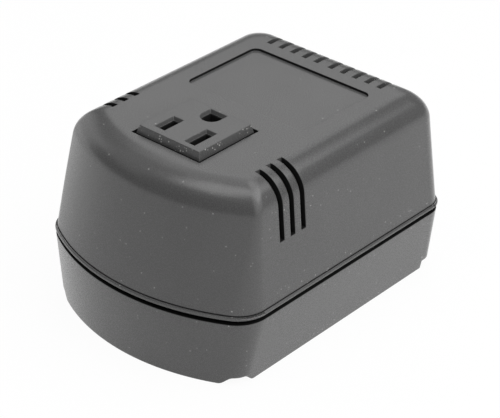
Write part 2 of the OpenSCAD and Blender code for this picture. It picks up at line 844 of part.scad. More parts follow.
// Flat tags on the bobbin's front rail, where the windings and leads are soldered
module bobbin_tags() {
    color(steel)
        for (i = [0 : bobbin_tag_n - 1]) {
            x = (i - (bobbin_tag_n - 1) / 2) * bobbin_tag_pitch;
            translate([x, bobbin_front + bobbin_t - bobbin_tag_l / 2, 0])
                slab(tag_w, bobbin_tag_l, flange_z, flange_z + strip_t);
        }
}

module inner_winding() {
    color(copper)
        leg_frame(inner_in, inner_out, coil_half);
}

module winding_paper() {
    color(tape_yellow)
        leg_frame(paper_in, paper_out, coil_half);
}

module outer_winding() {
    color(copper)
        leg_frame(outer_in, outer_out, coil_half);
}

module winding_wrap() {
    color(tape_yellow)
        leg_frame(wrap_in, wrap_out, coil_half);
}

// Flat bimetal cut-out that lies on the coil
module thermal_cutout() {
    color(rubber_black)
        translate([-bobbin_tag_pitch / 2, core_y, thermal_low])
            linear_extrude(thermal_h)
                round_rect(thermal_w, thermal_l, thermal_r);
}

// Height of the washer under a bolt's head: the front right bolt also holds the earth eye
function washer_low(p) = core_top + (p == eye_place ? eye_t : 0);

module core_bolts() {
    color(steel)
        for (p = bolt_places)
            translate([p[0], p[1], 0]) {
                head_low = washer_low(p) + washer_t;
                head_top = head_low + bolt_head_h;
                difference() {
                    union() {
                        pillar(core_bolt_r, core_low - bolt_bite, head_top);
                        pillar(bolt_head_r, head_low, head_top);
                    }
                    slab(bolt_slot_w, 3 * bolt_head_r, head_top - bolt_head_h / 2, head_top + past);
                }
            }
}

module core_washers() {
    color(steel)
        for (p = bolt_places)
            translate([p[0], p[1], 0])
                difference() {
                    pillar(washer_r, washer_low(p), washer_low(p) + washer_t);
                    pillar(core_bolt_r + thread_gap, core_top - past, core_top + eye_t + washer_t + past);
                }
}

// Ring terminal that earths the core, with its tongue towards the middle
module earth_eye() {
    color(brass)
        translate([eye_place[0], eye_place[1], 0])
            difference() {
                union() {
                    pillar(washer_r, core_top, core_top + eye_t);
                    translate([-eye_l / 2, 0, 0])
                        slab(eye_l, eye_w, core_top, core_top + eye_t);
                }
                pillar(core_bolt_r + thread_gap, core_top - past, core_top + eye_t + past);
            }
}

// Flanged bush that the mains cord passes through
module cord_gland() {
    flange_face = gland_seat_y + gland_flange_t;
    color(rubber_black)
        translate([0, 0, gland_z])
            rotate([-90, 0, 0])
                difference() {
                    union() {
                        pillar(gland_r, gland_inner_y - gland_l, flange_face);
                        pillar(gland_flange_r, gland_seat_y, flange_face);
                        pillar(gland_r + gland_barb, gland_inner_y - gland_barb_l, gland_inner_y);
                    }
                    pillar(gland_bore_r, gland_inner_y - gland_l - past, flange_face + past);
                }
}

module case_screws() {
    color(steel)
        for (p = boss_places)
            translate([p[0], p[1], 0])
                screw_up(case_screw_r, case_head_r, case_head_h, screw_seat_z, cover_low + screw_bite);
}

// Round lead swept along a route, with each ring square to the way it runs and untwisted
function unit(v) = v / norm(v);
function square_to(v, way) = unit(v - (v * way) * way);
function heading(route, i) =
    let (last = len(route) - 1, k = min(i, last))
    unit(route[min(k + 1, last)] - route[max(k - 1, 0)]);
function lead_rings(route, r) = [
    for (i = 0, side = square_to([0, 0, 1], heading(route, 0));
        i < len(route);
        i = i + 1, side = square_to(side, heading(route, i)))
        let (up = cross(heading(route, i), side))
        [for (k = [0 : lead_sides - 1])
            let (a = 360 * k / lead_sides)
            route[i] + r * cos(a) * side + r * sin(a) * up]
];

module lead(route, r, tint) {
    color(tint)
        loft(lead_rings(route, r));
}

module line_lead() {
    lead(line_route, lead_r, lead_black);
}

module neutral_lead() {
    lead(neutral_route, lead_r, lead_white);
}

module earth_lead() {
    lead(earth_route, lead_r, lead_green);
}

module cutout_lead() {
    lead(cutout_route, cutout_lead_r, lead_red);
}

top_cover();
base_tray();
outlet_face();
contact_carrier();
line_contact();
neutral_contact();
earth_contact();
outlet_screws();
core_e_stack();
core_i_stack();
bobbin();
bobbin_tags();
inner_winding();
winding_paper();
outer_winding();
winding_wrap();
thermal_cutout();
core_bolts();
core_washers();
earth_eye();
cord_gland();
case_screws();
line_lead();
neutral_lead();
earth_lead();
cutout_lead();
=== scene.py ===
"""Travel voltage converter: a moulded grey casing in two shells, its outlet, and the works inside."""
import math

import bmesh
import bpy
from mathutils import Matrix, Vector


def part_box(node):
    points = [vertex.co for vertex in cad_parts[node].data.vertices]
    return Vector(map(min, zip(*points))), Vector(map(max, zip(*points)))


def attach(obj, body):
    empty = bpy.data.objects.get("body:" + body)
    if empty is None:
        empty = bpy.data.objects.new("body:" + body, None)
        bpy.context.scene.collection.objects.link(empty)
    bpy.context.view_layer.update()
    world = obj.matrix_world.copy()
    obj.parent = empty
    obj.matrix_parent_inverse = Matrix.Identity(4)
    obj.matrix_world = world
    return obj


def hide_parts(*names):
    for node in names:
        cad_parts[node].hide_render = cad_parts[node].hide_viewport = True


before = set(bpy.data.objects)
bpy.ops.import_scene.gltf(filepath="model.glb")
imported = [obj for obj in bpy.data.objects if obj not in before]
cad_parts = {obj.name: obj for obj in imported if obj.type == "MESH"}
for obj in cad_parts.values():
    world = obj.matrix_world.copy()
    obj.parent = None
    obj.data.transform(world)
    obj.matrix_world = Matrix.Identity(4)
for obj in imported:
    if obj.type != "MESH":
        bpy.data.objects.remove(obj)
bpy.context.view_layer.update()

# Lengths are written in millimetres and turned into metres by this factor
MM = 0.001

# Heights and half sizes of the casing, from the frame
cover_min, cover_max = (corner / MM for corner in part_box("top_cover"))
tray_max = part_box("base_tray")[1] / MM
outlet_min, outlet_max = (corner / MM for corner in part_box("outlet_face"))
RIM_HALF = cover_max.x
RIM_END = cover_max.y
CASE_TOP = cover_max.z
COVER_LOW = cover_min.z
LIP_TOP = tray_max.z
OUTLET_Y = (outlet_min.y + outlet_max.y) / 2
OUTLET_TOP = outlet_max.z

# Walls, rim and lip
RIM_OUT = 0.5
RIM_EDGE = 0.75
RIM_SLOPE = 0.5
# The crease above the rim is a shallow groove whose two strips take painted shade
CREASE = 0.045
CREASE_DEPTH = 0.03
WALL = 2.3
TOP_WALL = 2.4
SEAM_GAP = 1.6
LIP_INSET = 2.55
LIP_WALL = 1.2
FLOOR_UNDER = 3.0
FLOOR_TOP = 5.4
TRAY_TOP = COVER_LOW - SEAM_GAP
TRAY_OUT = 0.25
LIP_ROOT = TRAY_TOP - 2 * LIP_WALL
WALL_HALF = RIM_HALF - RIM_OUT
WALL_END = RIM_END - RIM_OUT
COVER_TOP_INSIDE = CASE_TOP - TOP_WALL

# Bow, corner radii, leans and the roll into the top
BOW_R = 72.5
TOP_ROUND = 8.5
FRONT_R = 11.5
FRONT_TOP_R = 3.2
FRONT_FOOT_R = 6.4
FRONT_R_FALL = 1.6
BACK_R = 7.6
BACK_TOP_R = 7.0
BACK_FOOT_R = 4.3
LEAST_R = 0.6
FLAT_FRONT_R = 3.4
FLAT_BACK_R = 2.2
SIDE_LEAN = math.tan(math.radians(5.85))
FRONT_LEAN = math.tan(math.radians(12.05))
BACK_LEAN = math.tan(math.radians(5.25))
TRAY_SIDE_LEAN = math.tan(math.radians(8.5))
TRAY_FRONT_LEAN = math.tan(math.radians(4.7))
TRAY_BACK_LEAN = math.tan(math.radians(1.2))

# Corner radii of a skin that is set in change by one part in so many of the inset
COVER_FRONT_R_PARTS = 10
COVER_BACK_R_PARTS = 4
TRAY_R_PARTS = 2

# Air slots over the rolled edges, and how near to a slot's middle the middle of its column lies
SLOT_W = 2.0
SLOT_NEAR = SLOT_W / 4
SLOT_LOW = CASE_TOP - 19.9
SIDE_SLOT_TIP = RIM_HALF - 12.9
SIDE_SLOT_PITCH = 4.9
SIDE_SLOTS = [OUTLET_Y + i * SIDE_SLOT_PITCH for i in (-1, 0, 1)]
BACK_SLOT_TIP = RIM_END - 15.4
BACK_SLOT_W = 1.75
BACK_SLOT_PITCH = 4.94
BACK_SLOT_GAP = 5.93
BACK_SLOTS_A_SIDE = 5
BACK_SLOTS = [
    side * (BACK_SLOT_GAP / 2 + i * BACK_SLOT_PITCH)
    for side in (-1, 1) for i in range(BACK_SLOTS_A_SIDE)]

# Label recess, and the plinth of the outlet in its opening
LABEL_W = 48.0
LABEL_L = 33.3
LABEL_R = 2.5
LABEL_DEPTH = 0.9
LABEL_BACK = RIM_END - 20.55
PLINTH_W = 26.8
PLINTH_L = 25.8
PLINTH_GAP = 0.37
PLINTH_LEAN = 1.3
NECK_DEPTH = 0.4
# Rows of the outlet's loft that take painted shade: the flange's top and the plinth's neck below the
# cover's surface
PAINTED_SHADE_ROWS = (1, 2)
FLANGE_LIP = 2.0
FLANGE_THICK = 2.0
FLANGE_LOW = COVER_TOP_INSIDE - FLANGE_THICK

# Openings of the outlet
BLADE_X = 6.35
BLADE_Y = OUTLET_Y - 4.7
BLADE_SLOT_W = 2.5
SHORT_SLOT_L = 6.8
LONG_SLOT_L = 8.2
EARTH_Y = BLADE_Y + 11.9
EARTH_R = 2.6
EARTH_FLAT = 2.6
LEAD_IN = 0.85
LEAD_IN_FOOT = 0.4
LEAD_IN_DEPTH = 1.3
LEAD_IN_OVER = 0.5

# Cut-outs in the tray's skirt at its corners
FRONT_CUT_X = RIM_HALF - 5.8
FRONT_CUT_Y = -RIM_END + 15.2
FRONT_CUT_SLOPE = 4.0
BACK_CUT_X = RIM_HALF - 9.5
BACK_CUT_Y = RIM_END - 6.5
BACK_CUT_SLOPE = 0.6
SKIRT_STAY = 0.5

# Posts, screws, the cord entry and the air slots in the tray's floor
POST_X = RIM_HALF - 10.0
POST_FRONT = -RIM_END + 17.5
POST_BACK = RIM_END - 8.0
POST_R = 4.4
SCREW_SEAT = 9.0
SCREW_HEAD_HOLE_R = 3.45
SCREW_HOLE_R = 1.85
GLAND_Z = 13.0
GLAND_HOLE_R = 5.25
GLAND_HOLE_L = 4 * WALL
GLAND_SEAT_R = 7.25
GLAND_SEAT_Y = 53.89
FLOOR_SLOT_L = 26.0
FLOOR_SLOT_PITCH = 5.0
FLOOR_SLOT_Y = 19.5
FLOOR_SLOTS = [i * FLOOR_SLOT_PITCH for i in range(-3, 4)]

# Mesh fineness: counts of steps on curves, and distances between rows and columns
CORNER_STEPS = 18
BOW_STEPS = 96
SIDE_STEPS = 20
ROLL_STEPS = 14
ROUND_STEPS = 10
DISC_STEPS = 40
EARTH_STEPS = 24
COVER_ROW = 4
COVER_INNER_ROW = 1
COVER_COLUMN = 4
COVER_COLUMN_GAP = 3
COVER_COLUMN_END = 36
TRAY_ROW = 3
TRAY_ROW_LOW = FLOOR_UNDER + 0.2
CUT_COLUMN = 0.4
FLAT_MARGIN = 0.6

# How far a cutting or joining tool reaches past the faces that it meets
TOOL_OVER = 1

# Edge radii, and the angles in degrees over which an edge counts as sharp or a face as flat
EDGE_ROUND = 0.22
EDGE_SEGMENTS = 2
SHELL_EDGE_ANGLE = 42
NODE_EDGE = 0.1
NODE_EDGE_ANGLE = 32
WELD_REACH = 0.001
FLAT_ANGLE = 0.5

# Greys of the casing and of its near-black painted shade, as linear colours, and how matte the casing is
CASING_GREY = (0.07, 0.07, 0.07)
OUTLET_GREY = (0.072, 0.072, 0.072)
PAINTED_SHADE_GREY = (0.01, 0.01, 0.01)
CASING_SHEEN = (0.23, 0.31)
CASING_GLOSS = 0.6
CASING_HAZE = 0.5
HAZE_ROUGHNESS = 0.3

# Pale specks: spacing in millimetres, share of places that hold one, and radius as a share of the spacing
CASING_SPECKS = {"Speck": (0.55, 0.55, 0.54, 1), "Spacing": 2.4, "Share": 0.35, "Width": 0.125}
OUTLET_SPECKS = {"Speck": (0.75, 0.75, 0.73, 1), "Spacing": 1.0, "Share": 0.5, "Width": 0.28}

# Share of places with a speck on level faces, and the upward parts of the normals of steep and level faces
CASING_LEVEL_SHARE = 0.08
OUTLET_LEVEL_SHARE = 0.02
STEEP_UP = 0.6
LEVEL_UP = 0.9

# Noises of the finishes: detail, roughness, scale per metre, and the range that is stretched
GRAIN_DETAIL = 3.0
GRAIN_ROUGHNESS = 0.6
GRAIN_RANGE = (0.25, 0.75)
SHEEN_RANGE = (0.3, 0.7)
MOTTLE_SCALE = 60.0
MOTTLE_DETAIL = 4.0
MOTTLE_ROUGHNESS = 0.55
MOTTLE_RANGE = (0.3, 0.7)
PATCH_DETAIL = 5.0
PATCH_ROUGHNESS = 0.6
PATCH_RANGE = (0.45, 0.7)
MARKS_SCALE = (400.0, 6000.0, 6000.0)
MARKS_DETAIL = 2.0
MARKS_ROUGHNESS = 0.5

# Dull patches of metal, and the crowns and tones of thin layers
DULL_ROUGHNESS = 0.25
LAYER_EDGE = 0.5
LAYER_CROWN = 0.3
LAYER_DARKEST = 0.85
LAYER_PATCH = 6.0
LAYER_DULL_SHARE = 0.3

# Sheen of the leads' insulation, and fineness of its grain
LEAD_LOOK = {"size": 0.6, "sheen": (0.34, 0.44)}

# Places of the Mix node's share and two colours among its inputs, and of its colour among its outputs
MIX_INPUTS = (0, 6, 7)
MIX_COLOUR = 2
WHITE = (1, 1, 1, 1)

# Pieces that keep their own shape, by finish
FINISHED_NODES = {
    "nylon": ("contact_carrier", "bobbin"),
    "brass": ("line_contact", "neutral_contact", "earth_contact", "earth_eye"),
    "zinc": ("outlet_screws", "case_screws", "core_bolts", "core_washers"),
    "iron": ("core_e_stack", "core_i_stack"),
    "tin": ("bobbin_tags",),
    "copper": ("inner_winding", "outer_winding"),
    "tape": ("winding_paper", "winding_wrap"),
    "phenolic": ("thermal_cutout",),
    "rubber": ("cord_gland",),
    "black lead": ("line_lead",),
    "white lead": ("neutral_lead",),
    "green lead": ("earth_lead",),
    "red lead": ("cutout_lead",),
}
UNROUNDED = ("winding_paper", "winding_wrap", "line_lead", "neutral_lead", "earth_lead", "cutout_lead")

# Floor and world
FLOOR_HALF = 3.0
FLOOR_COLOUR = (0.86, 0.86, 0.86)
FLOOR_ROUGHNESS = 0.9
FLOOR_GLOW = 0.95
WORLD_LIGHT = 0.1

# Soft boxes: angles in degrees, size and distance in metres, and power in watts
LAMP_AIM = (0, 0, 35)
LAMP_DISTANCE = 0.9
LAMPS = {
    "right back box": {"azimuth": 120, "elevation": 65, "size": 0.9, "power": 5.1},
    "right box": {"azimuth": 90, "elevation": 40, "size": 1.2, "power": 5.3},
    "front box": {"azimuth": 350, "elevation": 65, "size": 0.45, "power": 1.9},
    "left back box": {"azimuth": 240, "elevation": 65, "size": 0.55, "power": 0.9},
    "back box": {"azimuth": 215, "elevation": 40, "size": 0.55, "power": 1.0},
    "front left box": {"azimuth": 300, "elevation": 40, "size": 0.55, "power": 0.4},
    "low left box": {"azimuth": 270, "elevation": 12, "size": 0.55, "power": 0.9},
}

# Camera that took the photograph, as a lens and a place in the frame
PHOTO_W = 500
PHOTO_H = 418
FOCAL_PX = 1954.3
CENTRE_PX = (243.70, 207.75)
CAMERA_AT = (345.775, -402.943, 350.478)
CAMERA_BACK = Vector((0.55494, -0.65066, 0.51834))
CAMERA_RIGHT = Vector((0.75186, 0.65895, 0.02220))
SENSOR = 36.0
CLIP_START = 0.01
CLIP_END = 20


def new_object(name, data):
    """An object of the scene with its data."""
    made = bpy.data.objects.new(name, data)
    bpy.context.scene.collection.objects.link(made)
    return made


def make_camera():
    """The camera at the photograph's place, with its lens and its small shift."""
    data = bpy.data.cameras.new("camera")
    data.sensor_width = SENSOR
    data.lens = SENSOR * FOCAL_PX / PHOTO_W
    data.shift_x = (PHOTO_W / 2 - CENTRE_PX[0]) / PHOTO_W
    data.shift_y = (CENTRE_PX[1] - PHOTO_H / 2) / PHOTO_W
    data.clip_start = CLIP_START
    data.clip_end = CLIP_END
    camera = new_object("camera", data)
    up = CAMERA_BACK.cross(CAMERA_RIGHT).normalized()
    right = up.cross(CAMERA_BACK).normalized()
    turn = Matrix((right, up, CAMERA_BACK.normalized())).transposed().to_4x4()
    camera.matrix_world = Matrix.Translation(Vector(CAMERA_AT) * MM) @ turn
    bpy.context.scene.camera = camera


# Outlines of the casing

def arc(centre, radius, start, end, steps):
    """Points along an arc from one angle to another, both ends included."""
    angles = [start + (end - start) * i / steps for i in range(steps + 1)]
    return [(centre[0] + radius * math.cos(a), centre[1] + radius * math.sin(a)) for a in angles]


def plan(half, front, back, bow, front_r, back_r, side_stops, back_stops):
    """Casing outline from above, anticlockwise: bowed front, straight sides and back, round corners.

    The stops along the sides and the back are functions of where these straight runs begin and end.
    """
    bow_y = front + bow
    corner_x = half - front_r
    corner_y = bow_y - math.sqrt((bow - front_r) ** 2 - corner_x ** 2)
    join = math.atan2(corner_y - bow_y, corner_x)
    right = arc((corner_x, corner_y), front_r, join, 0, CORNER_STEPS)
    right += [(half, y) for y in side_stops(corner_y, back - back_r)]
    right += arc((half - back_r, back - back_r), back_r, 0, math.pi / 2, CORNER_STEPS)
    straight_back = [(x, back) for x in reversed(back_stops(back_r - half, half - back_r))]
    left = [(-x, y) for x, y in reversed(right)]
    bowed = arc((0, bow_y), bow, -math.pi - join, join, BOW_STEPS)[1:-1]
    return right + straight_back + left + bowed


def cover_outline(z, inset, stops):
    """Outline of the cover at height z, set in from its outer wall."""
    rise = z - COVER_LOW
    share = min(max(rise / (CASE_TOP - COVER_LOW), 0), 1)
    front_r = FRONT_TOP_R + (FRONT_R - FRONT_TOP_R) * (1 - share) ** FRONT_R_FALL
    back_r = BACK_R + (BACK_TOP_R - BACK_R) * share
    front_in = FRONT_LEAN * rise + inset
    return plan(
        WALL_HALF - SIDE_LEAN * rise - inset, -WALL_END + front_in,
        WALL_END - BACK_LEAN * rise - inset, BOW_R - front_in,
        front_r + inset / COVER_FRONT_R_PARTS, back_r - inset / COVER_BACK_R_PARTS, *stops)


def tray_outline(z, inset, stops):
    """Outline of the tray at height z, set in from its outer wall."""
    drop = TRAY_TOP - z
    share = min(max(drop / TRAY_TOP, 0), 1)
    front_r = FRONT_R + (FRONT_FOOT_R - FRONT_R) * share
    back_r = BACK_R + (BACK_FOOT_R - BACK_R) * share
    back_in = inset - TRAY_OUT
    front_in = TRAY_FRONT_LEAN * drop + back_in
    r_less = inset / TRAY_R_PARTS
    return plan(
        WALL_HALF - TRAY_SIDE_LEAN * drop - back_in, -WALL_END + front_in,
        WALL_END - TRAY_BACK_LEAN * drop - back_in, BOW_R - front_in,
        max(front_r - r_less, LEAST_R), max(back_r - r_less, LEAST_R), *stops)


def evenly(start, end, step):
    """Places from start to end, both included, about one step apart."""
    count = max(1, round((end - start) / step))
    return [start + (end - start) * i / count for i in range(count + 1)]


def between(start, end):
    """A fixed count of even places between two ends, both left out."""
    return [start + (end - start) * i / SIDE_STEPS for i in range(1, SIDE_STEPS)]


# Mesh helpers

def new_piece(name, mesh, *materials):
    """A piece of the object that rides on the one body of the frame."""
    piece = new_object(name, mesh)
    for material in materials:
        mesh.materials.append(material)
    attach(piece, "root")
    return piece


def mesh_from(work, name):
    """A mesh in metres from a bmesh in millimetres, with its faces turned outwards."""
    bmesh.ops.recalc_face_normals(work, faces=work.faces)
    bmesh.ops.scale(work, vec=(MM, MM, MM), verts=work.verts)
    mesh = bpy.data.meshes.new(name)
    work.to_mesh(mesh)
    work.free()
    return mesh


def ring_of(work, outline, z):
    """Vertices of one outline at one height."""
    return [work.verts.new((x, y, z)) for x, y in outline]


def bridge(work, low, high, material=0):
    """Quads from one ring of vertices to the next."""
    count = len(low)
    for i in range(count):
        j = (i + 1) % count
        work.faces.new((low[i], low[j], high[j], high[i])).material_index = material


def upright(work, outline, low, high, material=0, floor_material=None, foot=None):
    """Closed prism over an outline, whose floor may have a material and an outline of its own."""
    bottom = ring_of(work, foot or outline, low)
    top = ring_of(work, outline, high)
    bridge(work, bottom, top, material)
    floor = work.faces.new(list(reversed(bottom)))
    floor.material_index = material if floor_material is None else floor_material
    work.faces.new(top).material_index = material


def rectangle(x, y, w, l):
    """Outline of a rectangle round a centre."""
    left, right, front, back = x - w / 2, x + w / 2, y - l / 2, y + l / 2
    return [(left, front), (right, front), (right, back), (left, back)]


def rounded(x, y, w, l, r):
    """Outline of a rectangle with round corners."""
    quarter = math.pi / 2
    corners = [(1, -1, -1), (1, 1, 0), (-1, 1, 1), (-1, -1, 2)]
    return [point for sx, sy, turn in corners
            for point in arc((x + sx * (w / 2 - r), y + sy * (l / 2 - r)), r,
                             turn * quarter, (turn + 1) * quarter, ROUND_STEPS)]


def disc(x, y, r):
    """Outline of a circle."""
    return arc((x, y), r, 0, 2 * math.pi, DISC_STEPS)[:-1]


def combine(piece, tool_mesh, operation):
    """Cuts a tool out of a piece, or joins it on."""
    for material in piece.data.materials:
        tool_mesh.materials.append(material)
    tool = new_object("tool", tool_mesh)
    modifier = piece.modifiers.new("combine", "BOOLEAN")
    modifier.operation = operation
    modifier.solver = "EXACT"
    modifier.object = tool
    bpy.context.view_layer.update()
    result = piece.evaluated_get(bpy.context.evaluated_depsgraph_get())
    shaped = bpy.data.meshes.new_from_object(result)
    piece.modifiers.remove(modifier)
    piece.data = shaped
    bpy.data.objects.remove(tool)


def soften(piece):
    """Smooth shading and a small moulded radius on every sharp edge of a new piece."""
    for polygon in piece.data.polygons:
        polygon.use_smooth = True
    soft_edges(piece, EDGE_ROUND, SHELL_EDGE_ANGLE)


def soft_edges(piece, width, angle):
    """Small radius on every sharp edge, with even shading on the flats."""
    bevel = piece.modifiers.new("edge radius", "BEVEL")
    bevel.width = width * MM
    bevel.segments = EDGE_SEGMENTS
    bevel.limit_method = "ANGLE"
    bevel.angle_limit = math.radians(angle)
    bevel.use_clamp_overlap = False
    even = piece.modifiers.new("even shading", "WEIGHTED_NORMAL")
    even.keep_sharp = True


# Cover

def slot_edges(places, width):
    """Both edges of every slot, in order."""
    return sorted(place + side * width / 2 for place in places for side in (-1, 1))


def cover_stops():
    """Columns of the cover's mesh, with one on each edge of every slot."""
    side = slot_edges(SIDE_SLOTS, SLOT_W)
    side += evenly(side[-1] + COVER_COLUMN_GAP, COVER_COLUMN_END, COVER_COLUMN)
    back = slot_edges(BACK_SLOTS, BACK_SLOT_W)
    return (lambda start, end: side), (lambda start, end: back)


def cover_rows():
    """Heights and insets of the cover's outer and inner skins, and the rows of its crease and slot feet."""
    rim_top = COVER_LOW + RIM_EDGE
    slope_top = rim_top + RIM_SLOPE
    outer = [(COVER_LOW, -RIM_OUT), (rim_top - CREASE, -RIM_OUT)]
    for z in (rim_top, rim_top + CREASE, slope_top - CREASE):
        outer.append((z, -RIM_OUT * (slope_top - z) / RIM_SLOPE))
    crease_row = len(outer) - 1
    outer.append((slope_top, CREASE_DEPTH))
    outer += [(z, 0) for z in evenly(slope_top + CREASE, SLOT_LOW, COVER_ROW)]
    slot_row = len(outer) - 1
    inner = [(z, WALL) for z in evenly(COVER_LOW, SLOT_LOW, COVER_INNER_ROW)]
    inner = [inner[round(i * (len(inner) - 1) / slot_row)] for i in range(slot_row + 1)]
    roll_z = CASE_TOP - TOP_ROUND
    straight = evenly(SLOT_LOW, roll_z, COVER_ROW)[1:]
    outer += [(z, 0) for z in straight]
    inner += [(z, WALL) for z in straight]
    inner_round = TOP_ROUND - WALL
    inner_roll_z = COVER_TOP_INSIDE - inner_round
    for i in range(1, ROLL_STEPS + 1):
        angle = math.pi / 2 * i / ROLL_STEPS
        rise, run = math.sin(angle), 1 - math.cos(angle)
        outer.append((roll_z + TOP_ROUND * rise, TOP_ROUND * run))
        inner.append((inner_roll_z + inner_round * rise, WALL + inner_round * run))
    return outer, inner, crease_row, slot_row


def slot_kind(x, y):
    """Which slot, if any, crosses this place on the wall: side, back or none."""
    if any(abs(y - place) < SLOT_NEAR for place in SIDE_SLOTS) and abs(x) > SIDE_SLOT_TIP:
        return "side"
    if any(abs(x - place) < SLOT_NEAR for place in BACK_SLOTS) and y > BACK_SLOT_TIP:
        return "back"
    return None


def cover_mesh():
    """Two skins of the cover, joined at its lower edge and round each slot."""
    stops = cover_stops()
    outer_rows, inner_rows, crease_row, slot_row = cover_rows()
    work = bmesh.new()
    outer = [ring_of(work, cover_outline(z, inset, stops), z) for z, inset in outer_rows]
    inner = [ring_of(work, cover_outline(z, inset, stops), z) for z, inset in inner_rows]
    rise = CASE_TOP - COVER_LOW
    step_in = WALL_END - BACK_LEAN * rise - TOP_ROUND - BACK_SLOT_TIP
    front_in = FRONT_LEAN * rise + TOP_ROUND + FLAT_MARGIN
    flat = plan(
        WALL_HALF - SIDE_LEAN * rise - TOP_ROUND - step_in, -WALL_END + front_in,
        BACK_SLOT_TIP, BOW_R - front_in, FLAT_FRONT_R, FLAT_BACK_R, *stops)
    outer.append(ring_of(work, flat, CASE_TOP))
    inner.append(ring_of(work, flat, COVER_TOP_INSIDE))
    count = len(outer[0])
    rows = len(outer) - 1
    tip_row = {"side": rows - 1, "back": rows}
    kinds = []
    for c in range(count):
        mid = (outer[slot_row][c].co + outer[slot_row][(c + 1) % count].co) / 2
        kinds.append(slot_kind(mid.x, mid.y))

    def is_open(r, c):
        kind = kinds[c % count]
        return kind is not None and slot_row <= r < tip_row[kind]

    # A dark face takes painted shade instead of the casing grey
    def add_face(corners, dark):
        work.faces.new(corners).material_index = 1 if dark else 0

    # The inner skin and its top, the crease strips, the side slots' walls and each slot's lower end wall
    # take painted shade; the back slots' walls stay casing grey
    for r in range(rows):
        for c in range(count):
            d = (c + 1) % count
            if not is_open(r, c):
                crease_in_painted_shade = r in (crease_row, crease_row + 1)
                add_face((outer[r][c], outer[r][d], outer[r + 1][d], outer[r + 1][c]), crease_in_painted_shade)
                add_face((inner[r][c], inner[r + 1][c], inner[r + 1][d], inner[r][d]), True)
                continue
            for edge in (c, d):
                add_face((outer[r][edge], outer[r + 1][edge], inner[r + 1][edge], inner[r][edge]),
                         kinds[c] == "side")
            for end, row in ((r - 1, r), (r + 1, r + 1)):
                if not is_open(end, c):
                    add_face((outer[row][c], outer[row][d], inner[row][d], inner[row][c]),
                             row == slot_row)
    add_face(outer[-1], False)
    add_face(list(reversed(inner[-1])), True)
    bridge(work, inner[0], outer[0])
    return mesh_from(work, "cover_shell")


def make_cover(casing, shade):
    """Upper shell: skins and slots, then the label recess and the opening for the outlet."""
    cover = new_piece("cover_shell", cover_mesh(), casing, shade)
    work = bmesh.new()
    # The label recess's walls and the walls of the outlet's opening take painted shade; the recess floor
    # keeps the casing grey
    upright(work, rounded(0, LABEL_BACK - LABEL_L / 2, LABEL_W, LABEL_L, LABEL_R),
            CASE_TOP - LABEL_DEPTH, CASE_TOP + TOOL_OVER, material=1, floor_material=0)
    upright(work, rectangle(0, OUTLET_Y, PLINTH_W + 2 * PLINTH_GAP, PLINTH_L + 2 * PLINTH_GAP),
            COVER_TOP_INSIDE - TOOL_OVER, CASE_TOP + TOOL_OVER, material=1)
    combine(cover, mesh_from(work, "cover_cuts"), "DIFFERENCE")
    soften(cover)
    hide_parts("top_cover")


# Tray

def ease(value, start, end):
    """Smooth step from 0 at start to 1 at end."""
    share = min(max((value - start) / (end - start), 0), 1)
    return share * share * (3 - 2 * share)


def foot_height(x, y):
    """Height of the skirt's lower edge: on the table, but lifted at the four corners."""
    if y < 0:
        across = ease(abs(x), FRONT_CUT_X - FRONT_CUT_SLOPE, FRONT_CUT_X)
        along = ease(y, FRONT_CUT_Y + FRONT_CUT_SLOPE, FRONT_CUT_Y)
    else:
        across = ease(abs(x), BACK_CUT_X - BACK_CUT_SLOPE, BACK_CUT_X)
        along = ease(y, BACK_CUT_Y - BACK_CUT_SLOPE, BACK_CUT_Y)
    return (FLOOR_UNDER - SKIRT_STAY) * across * along


def tray_side(start, end):
    """Columns along the tray's straight side, close together at the ends of its skirt."""
    front = evenly(start, start + FRONT_CUT_SLOPE + CUT_COLUMN, CUT_COLUMN)[1:]
    foot_end = WALL_END + TRAY_OUT - TRAY_BACK_LEAN * TRAY_TOP - BACK_FOOT_R
    back = [end - foot_end + y for y in (BACK_CUT_Y - BACK_CUT_SLOPE, BACK_CUT_Y)]
    return front + between(front[-1], back[0]) + back


def tray_back(start, end):
    """Columns along the tray's straight back, with one at each edge of the skirt's ends."""
    foot_end = WALL_HALF + TRAY_OUT - TRAY_SIDE_LEAN * TRAY_TOP - BACK_FOOT_R
    right = [end - foot_end + x for x in (BACK_CUT_X - BACK_CUT_SLOPE, BACK_CUT_X)]
    left = [start + end - x for x in reversed(right)]
    return left + between(left[-1], right[0]) + right


def tray_mesh():
    """Closed solid of the tray: skirt, outer wall, ledge, lip, inner wall and floor."""
    stops = (tray_side, tray_back)
    work = bmesh.new()
    rings = [ring_of(work, tray_outline(FLOOR_UNDER, WALL, stops), FLOOR_UNDER)]
    lifts = [foot_height(x, y) for x, y in tray_outline(0, 0, stops)]
    for inset in (WALL, 0):
        foot = zip(tray_outline(0, inset, stops), lifts)
        rings.append([work.verts.new((x, y, lift)) for (x, y), lift in foot])
    for z in evenly(TRAY_ROW_LOW, TRAY_TOP, TRAY_ROW):
        rings.append(ring_of(work, tray_outline(z, 0, stops), z))
    ledge_row = len(rings) - 1
    lip_inside = LIP_INSET + LIP_WALL
    for outline, inset, z in (
            (tray_outline, LIP_INSET, TRAY_TOP), (cover_outline, LIP_INSET, LIP_TOP),
            (cover_outline, lip_inside, LIP_TOP), (tray_outline, lip_inside, TRAY_TOP),
            (tray_outline, WALL, LIP_ROOT), (tray_outline, WALL, FLOOR_TOP)):
        rings.append(ring_of(work, outline(z, inset, stops), z))
    # From the ledge on, the lip and the inner wall, and the floor's top, take painted shade
    for row, (low, high) in enumerate(zip(rings, rings[1:])):
        bridge(work, low, high, 1 if row >= ledge_row else 0)
    work.faces.new(list(reversed(rings[0])))
    work.faces.new(rings[-1]).material_index = 1
    return mesh_from(work, "tray_shell")


